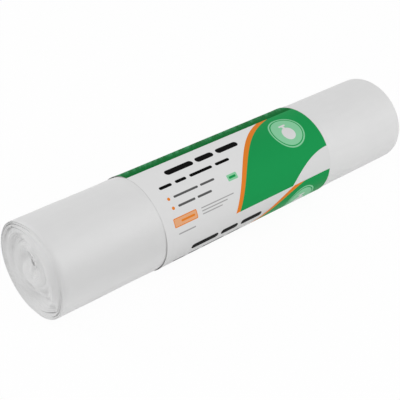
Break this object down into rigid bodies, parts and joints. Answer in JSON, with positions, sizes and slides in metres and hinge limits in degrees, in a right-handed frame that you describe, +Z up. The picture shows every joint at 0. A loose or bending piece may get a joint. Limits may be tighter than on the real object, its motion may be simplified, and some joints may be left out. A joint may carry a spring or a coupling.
{
  "type": "bin bag roll",
  "caption": "Coreless roll of milky polythene bin liners lying on its side, its ends showing the wound turns, held by a printed paper banderole round the middle.",
  "frame": {"origin": "on the surface that the roll lies on, under the middle of the roll", "axes": "+X along the roll, +Z up, +Y to the side where the banderole's glued lap and the roll's free edge are"},
  "size_m": [0.3048, 0.068, 0.0627],
  "materials": {
    "liner_film": "satin",
    "banderole_paper": "gloss"
  },
  "bodies": {
    "root": {"liner_roll": "liner_film", "banderole": "banderole_paper"}
  },
  "joints": []
}
